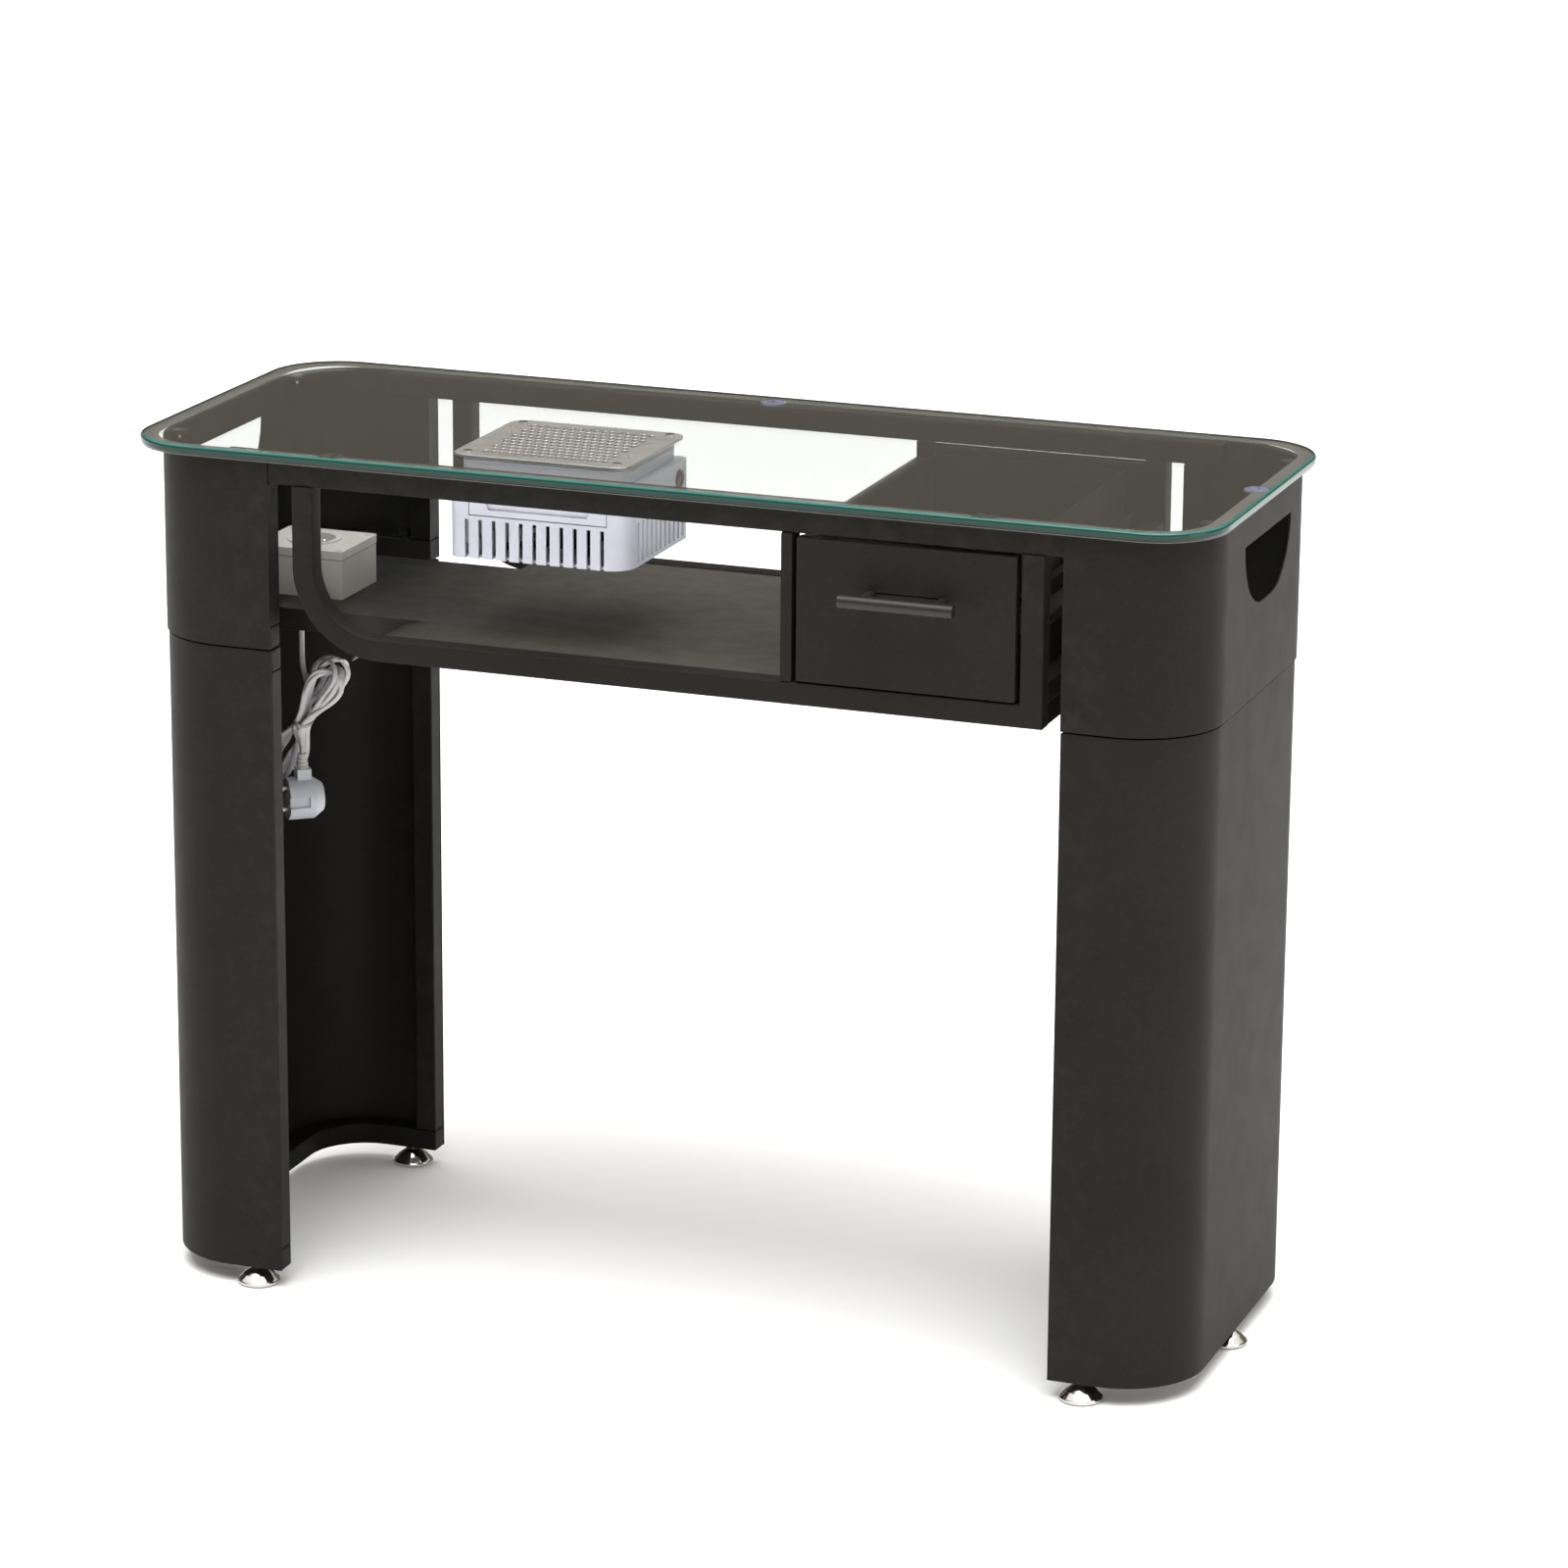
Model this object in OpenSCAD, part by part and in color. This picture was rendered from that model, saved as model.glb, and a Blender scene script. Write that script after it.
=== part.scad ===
// Nail salon work table: a glass top on a bent tube ring, two sheet steel legs
// that come apart in the middle, a shelf with a mains outlet, a drawer on ball
// slides and a dust collector that hangs in a cut-out of the glass.
// Millimetres, +Z up, front is -Y, origin on the floor below the middle.

/* [Glass top] */
// Length of the glass
top_l = 1000; // [980:5:1020]
// Depth of the glass, front to back
top_w = 390; // [385:1:400]
// Corner radius of the glass
top_r = 65; // [50:1:75]
// Thickness of the glass
glass_t = 8; // [6:1:8]
// Height of the glass surface above the floor
table_h = 780; // [770:1:800]
// Height of the soft pads between glass and ring
pad_t = 1.5; // [1:0.5:2]

/* [Frame] */
// Width of the square tube
tube = 20; // [18:1:22]
// Wall of tube and sheet
wall = 1.5; // [1:0.1:1.8]
// Half length of the frame, outside the legs
frame_hl = 489.5; // [486:0.5:490]
// Half depth of the frame, outside the legs
frame_hw = 187; // [185:0.5:188]
// Corner radius of the legs
leg_r = 77; // [70:1:82]
// How far the loose glass sits off the frame centre
frame_x = 3.5; // [0:0.5:4]
// Distance from frame centre to the left leg's inner edge
leg_in_l = 360.5; // [358:0.5:364]
// Distance from frame centre to the right leg's inner edge
leg_in_r = 368.5; // [365:0.5:372]
// Distance from frame centre to the ends of the top rails
rail_hl = 404; // [400:1:408]

/* [Legs] */
// Height of the joint between lower and upper leg
joint_z = 600; // [590:1:605]
// Height of the lower edge of the legs
leg_z0 = 17.5; // [15:0.5:25]
// Inset of the lower leg behind the upper one
leg_step = 1.5; // [0:0.5:2]
// Gap at the leg joint
joint_gap = 1.5; // [1:0.5:2]
// Half width of the hand hole
moon_hw = 72; // [60:1:80]
// Depth of the hand hole
moon_d = 59; // [50:1:62]
// How far the right hand hole sits behind the middle
moon_y = 13; // [0:1:16]

/* [Feet] */
// Radius of a levelling foot
foot_r = 19.6; // [17:0.1:20]
// Distance of the inner feet from the leg's inner edge
foot_in = 28; // [28:0.5:30]

/* [Shelf] */
// Left side of the tube loops
loop_x0 = -334.5; // [-340:0.5:-330]
// Right side of the tube loops
loop_x1 = 355.5; // [350:0.5:358]
// Outer radius of the loops' bend
bend_r = 80; // [70:1:90]
// Where the shelf narrows, left of the middle
notch_x = -240; // [-250:1:-230]
// Half width of the narrow part of the shelf
notch_y = 106; // [95:1:108]

/* [Drawer] */
// Left edge of the bay post
bay_x0 = 121.5; // [118:0.5:124]
// Inner width of the bay
bay_w = 204; // [200:1:204]
// Depth of the drawer box
drawer_d = 325; // [300:5:330]
// Length of the ball slides
slide_l = 300; // [250:50:300]

/* [Dust collector] */
// Middle of the collector, left to right
col_x = -120; // [-140:1:-100]
// Middle of the collector, front to back
col_y = -69; // [-75:1:-60]
// Length of the perforated plate
plate_l = 165; // [160:1:170]
// Depth of the perforated plate
plate_w = 150; // [145:1:152]
// Holes in a long row of the plate
plate_n = 16; // [10:1:16]
// Rows of holes in the plate
plate_rows = 11; // [7:2:11]

/* [Outlet and lead] */
// Middle of the outlet box, left to right
box_x = -390; // [-395:1:-385]
// Middle of the outlet box, front to back
box_y = -24; // [-30:1:-20]
// Diameter of the mains lead
cord_d = 4.8; // [4:0.2:5]

/* [Hidden] */
$fn = 64;
y_shift = 13.5;
ring_top = table_h - glass_t - pad_t;
ring_bot = ring_top - tube;
rail_z = joint_z;
shelf_z = rail_z + tube - 1.5;
bay_x1 = bay_x0 + 10;
bay_x2 = bay_x1 + bay_w;
col_z0 = 690;
col_z1 = 756;
col_l = 168;
col_w = 148;
neck_l = 151;
neck_w = 136;
cord_x = -402;
cord_y = -24;
slide_z = 692;
hank_a = 32;
hank_x = -401.5;
hank_z = 490;
hank_t = 14.5;
// middle line of the lead, from the gland down into the hank
lead_pts = [[-402, -24, 618], [-402, -24, 606], [-402, -24, 594], [-402, -24, 582],
            [-402, -24, 570], [-402, -24, 558], [-402, -24, 546], [-402, -24, 534],
            [-402, -24, 524], [-402, -23, 513]];
// middle line of the tail, from the front of the hank down to the plug
tail_pts = [[-400.5, -34, 487], [-399.5, -37.5, 482.5], [-397.5, -41, 478], [-395.5, -43.6, 473],
            [-394.3, -44.8, 467.5], [-394, -45, 460]];

module place() { translate([0, y_shift, 0]) children(); }

// ---- shared shapes ------------------------------------------------------
// rounded rectangle with its own radius at the front and at the back
module rr4(x0, x1, y0, y1, rf, rb) {
    translate([x0 + rf, y0]) square([x1 - x0 - 2 * rf, y1 - y0 - rb]);
    translate([x0, y0 + rf]) square([x1 - x0, y1 - y0 - rf - rb]);
    translate([x0 + rb, y0 + rf]) square([x1 - x0 - 2 * rb, y1 - y0 - rf]);
    for (x = [x0 + rf, x1 - rf]) translate([x, y0 + rf]) circle(r = rf);
    for (x = [x0 + rb, x1 - rb]) translate([x, y1 - rb]) circle(r = rb);
}
module rrect(l, w, r) { rr4(-l / 2, l / 2, -w / 2, w / 2, r, r); }
module slab(l, w, r, z0, z1) { translate([0, 0, z0]) linear_extrude(z1 - z0) rrect(l, w, r); }
module box(x0, x1, y0, y1, z0, z1) { translate([x0, y0, z0]) cube([x1 - x0, y1 - y0, z1 - z0]); }
module rod(x, y, z0, z1, r) { translate([x, y, z0]) cylinder(h = z1 - z0, r = r); }
module rod_x(x0, x1, y, z, r) { translate([x0, y, z]) rotate([0, 90, 0]) cylinder(h = x1 - x0, r = r); }
module rod_y(x, y0, y1, z, r) { translate([x, y0, z]) rotate([-90, 0, 0]) cylinder(h = y1 - y0, r = r); }

// closed band of the frame's plan, inset from the outside, open towards the middle
module c_band(inset0, inset1, xin, z0, z1) {
    translate([0, 0, z0]) linear_extrude(z1 - z0) difference() {
        rrect(2 * (frame_hl - inset0), 2 * (frame_hw - inset0), leg_r - inset0);
        rrect(2 * (frame_hl - inset1), 2 * (frame_hw - inset1), leg_r - inset1);
        translate([-xin, -300]) square([xin + frame_hl + 50, 600]);
    }
}
// children are drawn for the left leg; $lin is the leg's inner edge
module side(s) {
    $lin = s > 0 ? leg_in_r : leg_in_l;
    translate([frame_x, 0, 0]) mirror([s > 0 ? 1 : 0, 0, 0]) children();
}
module both_sides() { side(-1) children(); side(1) children(); }

// hollow square tube rim of one leg with closed ends, left side
module rim(inset, z0) {
    difference() {
        c_band(inset, inset + tube, $lin, z0, z0 + tube);
        c_band(inset + wall, inset + tube - wall, $lin + wall, z0 + wall, z0 + tube - wall);
        children();
    }
}
module foot_spots() {
    for (y = [-1, 1]) translate([-$lin - foot_in, y * (frame_hw - leg_step - wall - tube / 2), 0]) children();
    translate([-(frame_hl - leg_step - wall - tube / 2), 0, 0]) children();
}

// ---- glass top ----------------------------------------------------------
module glass_top() {
    color([0.62, 0.74, 0.70, 0.4]) difference() {
        slab(top_l, top_w, top_r, table_h - glass_t, table_h);
        translate([col_x, col_y, 0]) slab(neck_l + 2, neck_w + 2, 12, table_h - glass_t - 1, table_h + 1);
    }
}
pads = [[-300, -175.5], [300, -175.5], [-21, 177], [484, 4]];
module glass_edge_border() {
    color([0.45, 0.44, 0.41]) difference() {
        slab(top_l - 3, top_w - 3, top_r - 1.5, table_h - glass_t - 0.5, table_h - glass_t);
        slab(top_l - 33, top_w - 33, top_r - 16.5, table_h - glass_t - 1, table_h - glass_t + 1);
        for (p = pads) rod(p[0], p[1], table_h - glass_t - 1, table_h - glass_t + 1, 12.5);
    }
}
module glass_pads() {
    color([0.55, 0.58, 0.75, 0.6])
        for (p = pads) rod(p[0], p[1], ring_top, table_h - glass_t, 11);
}

// ---- frame --------------------------------------------------------------
scr_a = 13.3;
scr_r = 65.5;
ring_scr = [for (sx = [-1, 1], sy = [-1, 1])
    [frame_x + sx * (frame_hl - leg_r + scr_r * cos(scr_a)), sy * (frame_hw - leg_r + scr_r * sin(scr_a))]];
module top_rails() {
    color([0.16, 0.155, 0.145]) translate([frame_x, 0, 0])
        for (y = [-frame_hw + wall, frame_hw - wall - tube]) difference() {
            box(-rail_hl, rail_hl, y, y + tube, ring_bot, ring_top);
            box(-rail_hl - 1, rail_hl + 1, y + wall, y + tube - wall, ring_bot + wall, ring_top - wall);
        }
}
module leg_top_bands() {
    color([0.15, 0.145, 0.135]) difference() {
        translate([frame_x, 0, 0]) for (m = [0, 1]) mirror([m, 0, 0]) {
            c_band(wall, wall + 3, rail_hl, ring_bot, ring_top);
            // small tabs for the corner screws
            for (n = [0, 1]) mirror([0, n, 0]) translate([-(frame_hl - leg_r), frame_hw - leg_r, 0])
                rotate([0, 0, 180 - scr_a]) box(scr_r - 8, leg_r - wall - 2, -7, 7, ring_top - 3, ring_top);
        }
        for (p = ring_scr) rod(p[0], p[1], ring_top - 5, ring_top + 1, 2.6);
    }
}
module ring_screws() {
    color([0.55, 0.55, 0.55]) for (p = ring_scr) difference() {
        union() {
            rod(p[0], p[1], ring_top, ring_top + 0.9, 5.5);
            rod(p[0], p[1], ring_top - 7, ring_top, 2.5);
        }
        rod(p[0], p[1], ring_top + 0.3, ring_top + 2, 1.6);
    }
}
// half-round hand hole with a straight upper edge, through the end wall
module moon(y) {
    translate([0, y, ring_bot - 9]) rotate([0, -90, 0]) linear_extrude(40) difference() {
        union() {
            for (s = [-1, 1]) translate([0, s * (moon_hw - moon_d)]) circle(r = moon_d);
            translate([-moon_d, -(moon_hw - moon_d)]) square([moon_d, 2 * (moon_hw - moon_d)]);
        }
        translate([0, -200]) square([200, 400]);
    }
}
module upper_leg(s) {
    color([0.17, 0.165, 0.155]) side(s) difference() {
        c_band(0, wall, $lin, joint_z + joint_gap / 2, ring_top);
        translate([-frame_hl + 20, 0, 0]) moon(s > 0 ? moon_y : 2);
    }
}
module upper_leg_left() { upper_leg(-1); }
module upper_leg_right() { upper_leg(1); }
module post(y, z0, z1, inset) {
    y0 = y < 0 ? -(frame_hw - inset) : frame_hw - inset - tube;
    difference() {
        box(-$lin - tube, -$lin, y0, y0 + tube, z0, z1);
        box(-$lin - tube + wall, -$lin - wall, y0 + wall, y0 + tube - wall, z0 - 1, z1 + 1);
    }
}
module upper_leg_posts() {
    color([0.15, 0.145, 0.135]) both_sides() for (y = [-1, 1])
        post(y, joint_z + joint_gap / 2 + tube, ring_bot, wall);
}
module upper_leg_rims() {
    color([0.15, 0.145, 0.135]) both_sides() rim(wall, joint_z + joint_gap / 2)
        foot_spots() rod(0, 0, joint_z - 5, joint_z + 40, 4.2);
}
module lower_leg(s) {
    color([0.17, 0.165, 0.155]) side(s)
        c_band(leg_step, leg_step + wall, $lin, leg_z0, joint_z - joint_gap / 2);
}
module lower_leg_left() { lower_leg(-1); }
module lower_leg_right() { lower_leg(1); }
module lower_leg_posts() {
    color([0.15, 0.145, 0.135]) both_sides() for (y = [-1, 1])
        post(y, leg_z0 + tube, joint_z - joint_gap / 2 - tube, wall + leg_step);
}
module lower_leg_top_rims() {
    color([0.15, 0.145, 0.135]) both_sides() rim(wall + leg_step, joint_z - joint_gap / 2 - tube)
        foot_spots() rod(0, 0, joint_z - 40, joint_z + 5, 4.2);
}
module lower_leg_bottom_rims() {
    color([0.15, 0.145, 0.135]) both_sides() rim(wall + leg_step, leg_z0)
        foot_spots() rod(0, 0, leg_z0 - 5, leg_z0 + 5, 4.6);
}
module leg_joint_bolts() {
    color([0.35, 0.35, 0.34]) both_sides() foot_spots() {
        rod(0, 0, joint_z - joint_gap / 2 - tube - 12, joint_z + joint_gap / 2 + tube, 4);
        rod(0, 0, joint_z + joint_gap / 2 + tube, joint_z + joint_gap / 2 + tube + 1.2, 7.6);
        translate([0, 0, joint_z + joint_gap / 2 + tube + 1.2]) cylinder(h = 5, r = 7.2, $fn = 6);
        translate([0, 0, joint_z - joint_gap / 2 - tube - 6.5]) difference() {
            cylinder(h = 6.5, r = 7.2, $fn = 6);
            translate([0, 0, -1]) cylinder(h = 9, r = 3.9);
        }
    }
}

// ---- feet ---------------------------------------------------------------
module foot() {
    color([0.78, 0.77, 0.74]) rotate_extrude() polygon([
        [0, 0], [foot_r - 2.6, 0], [foot_r - 1, 0.8], [foot_r, 2.2], [foot_r, 3.4],
        [foot_r - 0.8, 4.6], [foot_r - 5.6, 9.2], [9.2, 12.6], [7.6, 13.6], [6.6, 14.6],
        [4, 14.6], [4, 32], [3.2, 33], [0, 33]]);
}
module foot_at(s, i) {
    fy = frame_hw - leg_step - wall - tube / 2;
    fo = frame_hl - leg_step - wall - tube / 2;
    lin = s > 0 ? leg_in_r : leg_in_l;
    translate([frame_x + s * (i == 2 ? fo : lin + foot_in), i == 2 ? 0 : (i == 0 ? -fy : fy), 0]) foot();
}
module foot_front_left() { foot_at(-1, 0); }
module foot_rear_left() { foot_at(-1, 1); }
module foot_outer_left() { foot_at(-1, 2); }
module foot_front_right() { foot_at(1, 0); }
module foot_rear_right() { foot_at(1, 1); }
module foot_outer_right() { foot_at(1, 2); }
module foot_inserts() {
    color([0.6, 0.58, 0.5]) both_sides() foot_spots() difference() {
        rod(0, 0, leg_z0 + wall, leg_z0 + wall + 8, 7.5);
        rod(0, 0, leg_z0, leg_z0 + 12, 4.1);
    }
}

// ---- shelf and drawer bay -----------------------------------------------
module loop_outline(x0, x1, w, r, zb, zt) {
    translate([x0, zb + r]) square([w, zt - zb - r]);
    translate([x0 + r, zb]) square([x1 - x0 - r, w]);
    translate([x1 - w, zb]) square([w, zt - zb]);
    intersection() {
        translate([x0 + r, zb + r]) difference() { circle(r = r); circle(r = r - w); }
        translate([x0, zb]) square([r, r]);
    }
}
module loop(y0) {
    color([0.19, 0.185, 0.175]) difference() {
        translate([0, y0 + tube, 0]) rotate([90, 0, 0]) linear_extrude(tube)
            loop_outline(loop_x0, loop_x1, tube, bend_r, rail_z, ring_bot);
        translate([0, y0 + tube - wall, 0]) rotate([90, 0, 0]) linear_extrude(tube - 2 * wall)
            loop_outline(loop_x0 + wall, loop_x1 - wall, tube - 2 * wall, bend_r - wall, rail_z + wall, ring_bot + 1);
    }
}
module front_loop() { loop(-frame_hw); }
module rear_loop() { loop(frame_hw - tube); }
module bay_posts() {
    color([0.19, 0.185, 0.175]) for (y = [-frame_hw, frame_hw - tube]) difference() {
        box(bay_x0, bay_x1, y, y + tube, rail_z + tube, ring_bot);
        box(bay_x0 + wall, bay_x1 - wall, y + wall, y + tube - wall, rail_z + tube - 1, ring_bot + 1);
    }
}
module bay_cross_members() {
    color([0.17, 0.165, 0.155]) {
        difference() {
            box(loop_x1 - tube, loop_x1, -frame_hw + tube, frame_hw - tube, rail_z, rail_z + tube);
            box(loop_x1 - tube + wall, loop_x1 - wall, -frame_hw + tube - 1, frame_hw - tube + 1, rail_z + wall, rail_z + tube - wall);
        }
        // bars that carry the drawer's slides
        box(bay_x0 + 1.8, bay_x1, -frame_hw + tube, frame_hw - tube - 1.8, slide_z - 4.5, slide_z + 4.5);
        box(bay_x2, loop_x1 - 0.5, -frame_hw + tube, frame_hw - tube - 1.8, slide_z - 4.5, slide_z + 4.5);
    }
}
// one folded sheet: the wall beside the shelf, its turned-over top and the back of the bay
module bay_partition() {
    color([0.2, 0.195, 0.18]) {
        box(bay_x0, loop_x1 - 0.5, frame_hw - tube - 1.5, frame_hw - tube, rail_z + tube + 0.2, ring_bot - 0.2);
        box(bay_x0, bay_x0 + 1.5, -frame_hw + tube, frame_hw - tube, shelf_z, 736);
        box(bay_x0 + 1.5, bay_x1, -frame_hw + tube, frame_hw - tube, 734.5, 736);
    }
}
module shelf_tray() {
    yf = -frame_hw + tube + 1.5;
    yb = frame_hw - tube;
    xl = frame_x - (frame_hl - wall - tube);
    color([0.24, 0.23, 0.21]) difference() {
        union() {
            box(notch_x, bay_x2, yf, yb, shelf_z - 1.5, shelf_z);
            box(xl, notch_x + 1, -notch_y, notch_y, shelf_z - 1.5, shelf_z);
            // turned-down lips
            box(notch_x, bay_x2, yf, yf + 1.5, shelf_z - 16, shelf_z);
            box(xl + 3, notch_x, -notch_y, -notch_y + 1.5, shelf_z - 20, shelf_z);
            box(xl + 3, notch_x, notch_y - 1.5, notch_y, shelf_z - 20, shelf_z);
            // tongue that curves down beside the bend of the front loop
            intersection() {
                translate([notch_x, yf, shelf_z - 60]) rotate([-90, 0, 0]) difference() {
                    cylinder(h = -notch_y - yf - 1, r = 60);
                    translate([0, 0, -1]) cylinder(h = 100, r = 58.5);
                }
                box(notch_x - 48, notch_x, yf - 1, -notch_y, shelf_z - 60, shelf_z + 1);
            }
        }
        rod(cord_x, cord_y, shelf_z - 5, shelf_z + 5, 6.2);
    }
}

// ---- ball slides: outer fixed, middle half way, inner on the drawer ------
module slide_part(t0, t1, web, h, len) {
    box(web, web + 1.2, -len / 2, len / 2, -h, h);
    for (s = [-1, 1]) box(t0, t1, -len / 2, len / 2, s > 0 ? h - 1.2 : -h, s > 0 ? h : -h + 1.2);
}
module slide_pair() {
    translate([bay_x1, -172 + slide_l / 2, slide_z]) children();
    translate([bay_x2, -172 + slide_l / 2, slide_z]) mirror([1, 0, 0]) children();
}
module slide_outer_members() { color([0.5, 0.5, 0.5]) slide_pair() slide_part(0, 9, 0, 17.5, slide_l); }
module slide_middle_members() { color([0.55, 0.55, 0.55]) slide_pair() slide_part(3.5, 10, 3.5, 14.5, slide_l); }
module slide_inner_members() { color([0.6, 0.6, 0.6]) slide_pair() slide_part(6, 12, 10.8, 11.5, slide_l); }

// ---- drawer -------------------------------------------------------------
dr_x0 = bay_x1 + 12;
dr_x1 = bay_x2 - 12;
dr_y0 = -175;
handle_x = (bay_x1 + bay_x2) / 2 + 1.5;
handle_z = 703;
handle_y = -216;
module drawer_box() {
    color([0.2, 0.195, 0.18]) difference() {
        union() {
            box(dr_x0, dr_x1, dr_y0, dr_y0 + drawer_d, 626, 744);
            box(bay_x1 + 5.5, bay_x2 - 5.5, dr_y0, dr_y0 + 1.5, 623, 746);
        }
        box(dr_x0 + 1.5, dr_x1 - 1.5, dr_y0 + 1.5, dr_y0 + drawer_d - 1.5, 627.5, 760);
        for (s = [-32, 32]) rod_y(handle_x + s, -190, -170, handle_z, 2.3);
    }
}
module drawer_front() {
    color([0.21, 0.205, 0.195]) difference() {
        box(bay_x1 + 4, bay_x2 - 4, -187.5, dr_y0, 621.5, 747.5);
        box(bay_x1 + 5.5, bay_x2 - 5.5, -186, dr_y0 + 1, 623, 746);
        for (s = [-32, 32]) rod_y(handle_x + s, -190, -170, handle_z, 2.3);
    }
}
module drawer_handle_bar() {
    color([0.24, 0.235, 0.225]) difference() {
        rod_x(handle_x - 51, handle_x + 51, handle_y, handle_z, 6);
        for (s = [-32, 32]) rod_y(handle_x + s, handle_y, handle_y + 8, handle_z, 4.5);
    }
}
module drawer_handle_posts() {
    color([0.24, 0.235, 0.225]) for (s = [-32, 32]) difference() {
        rod_y(handle_x + s, handle_y, -187.5, handle_z, 4.5);
        rod_y(handle_x + s, -200, -187, handle_z, 2.0);
    }
}
module drawer_handle_screws() {
    color([0.6, 0.6, 0.58]) for (s = [-32, 32]) {
        rod_y(handle_x + s, -198, -173.5, handle_z, 1.9);
        rod_y(handle_x + s, -173.5, -171, handle_z, 4);
    }
}

// ---- outlet box ---------------------------------------------------------
bz0 = shelf_z;
bz1 = shelf_z + 36.5;
bz2 = shelf_z + 44;
box_cx = box_x + 3.25;
out_x = box_x + 2;
out_y = box_y;
module outlet_box_base() {
    color([0.78, 0.77, 0.74]) difference() {
        translate([box_cx, box_y, 0]) slab(86.5, 77, 2.5, bz0, bz1);
        difference() {
            translate([box_cx, box_y, 0]) slab(82.5, 73, 1, bz0 + 2, bz1 + 1);
            for (sx = [-1, 1], sy = [-1, 1]) rod(box_cx + sx * 37.2, box_y + sy * 32.5, bz0, bz1 + 2, 4.2);
        }
        for (sx = [-1, 1], sy = [-1, 1]) rod(box_cx + sx * 37.2, box_y + sy * 32.5, bz1 - 16, bz1 + 2, 1.7);
        rod(cord_x, cord_y, bz0 - 1, bz0 + 3, 6.2);
    }
}
module outlet_box_lid() {
    color([0.82, 0.81, 0.78]) difference() {
        translate([box_cx, box_y, 0]) slab(87.5, 78, 3, bz1, bz2);
        translate([box_cx, box_y, 0]) slab(83.5, 74, 1.2, bz1 - 1, bz2 - 2.5);
        rod(out_x, out_y, bz1 - 1, bz2 + 1, 22.3);
        for (sx = [-1, 1], sy = [-1, 1]) {
            rod(box_cx + sx * 37.2, box_y + sy * 32.5, bz1 - 1, bz2 + 1, 1.9);
            rod(box_cx + sx * 37.2, box_y + sy * 32.5, bz2 - 1, bz2 + 1, 3.6);
        }
    }
}
module outlet_insert() {
    color([0.86, 0.86, 0.84]) difference() {
        union() {
            rod(out_x, out_y, bz2 - 17, bz2 + 0.01, 22);
            rod(out_x, out_y, bz2, bz2 + 1.5, 24.5);
        }
        rod(out_x, out_y, bz2 - 14, bz2 + 3, 19.7);
        for (s = [-9.5, 9.5]) rod(out_x, out_y + s, bz2 - 18, bz2 - 10, 2.7);
        rod(out_x + 10, out_y, bz2 - 18, bz2 - 10, 2.5);
    }
}
module outlet_earth_pin() {
    color([0.75, 0.68, 0.5]) {
        rod(out_x + 10, out_y, bz2 - 20, bz2 - 1.5, 2.4);
        translate([out_x + 10, out_y, bz2 - 1.5]) difference() {
            sphere(r = 2.4);
            translate([-5, -5, -10]) cube([10, 10, 10]);
        }
    }
}
module outlet_box_screws() {
    color([0.6, 0.6, 0.58]) for (sx = [-1, 1], sy = [-1, 1]) translate([box_cx + sx * 37.2, box_y + sy * 32.5, 0]) difference() {
        union() {
            rod(0, 0, bz1 - 14, bz2 - 1, 1.6);
            rod(0, 0, bz2 - 1, bz2 + 0.4, 3.3);
        }
        box(-3, 3, -0.4, 0.4, bz2 - 0.3, bz2 + 2);
    }
}

// ---- mains lead, tied up in the left leg --------------------------------
module cord_gland() {
    color([0.13, 0.13, 0.13]) translate([cord_x, cord_y, 0]) rotate_extrude() polygon([
        [2.6, 593], [3.6, 593], [5.4, 614], [8.5, 614], [8.5, shelf_z - 1.6], [6, shelf_z - 1.6],
        [6, bz0 + 3.5], [8, bz0 + 3.5], [8, bz0 + 5.5], [0, bz0 + 5.5], [0, 618], [2.6, 618]]);
}
// tube of n sides swept along points that run downwards
function ring_of(p, r, n) = [for (k = [0:n - 1]) [p[0] + r * cos(360 * k / n), p[1] + r * sin(360 * k / n), p[2]]];
module drop_tube(pts, r, n = 8) {
    m = len(pts);
    v = [for (p = pts) each ring_of(p, r, n)];
    f = concat([[for (k = [0:n - 1]) n - 1 - k]],
        [for (i = [0:m - 2], k = [0:n - 1]) [i * n + k, i * n + (k + 1) % n, (i + 1) * n + (k + 1) % n, (i + 1) * n + k]],
        [[for (k = [0:n - 1]) (m - 1) * n + k]]);
    polyhedron(points = v, faces = [for (q = f) [for (j = [len(q) - 1:-1:0]) q[j]]], convexity = 4);
}
module cord_lead() { color([0.8, 0.8, 0.8]) drop_tube(lead_pts, cord_d / 2); }
module cord_tail() { color([0.8, 0.8, 0.8]) drop_tube(tail_pts, cord_d / 2); }
module cord_hank() {
    color([0.75, 0.75, 0.75]) translate([hank_x, cord_y, hank_z]) rotate([0, hank_a, 0]) rotate([90, 0, 0])
        translate([0, 0, -hank_t]) linear_extrude(2 * hank_t) {
            translate([0, 52]) circle(r = 21.5);
            translate([0, -42]) circle(r = 21.5);
            polygon([[-21.5, 52], [-9, 0], [-21.5, -42], [21.5, -42], [9, 0], [21.5, 52]]);
        }
}
module cord_tie() {
    color([0.85, 0.85, 0.83]) translate([hank_x, cord_y, hank_z]) rotate([0, hank_a, 0]) difference() {
        cube([21.8, 2 * hank_t + 2.6, 3], center = true);
        cube([19.3, 2 * hank_t + 0.1, 5], center = true);
    }
}
plug_x = -394;
plug_y = -45;
plug_z = 424;
module at_plug() { translate([plug_x, plug_y, plug_z]) rotate([0, 0, 38]) children(); }
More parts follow.
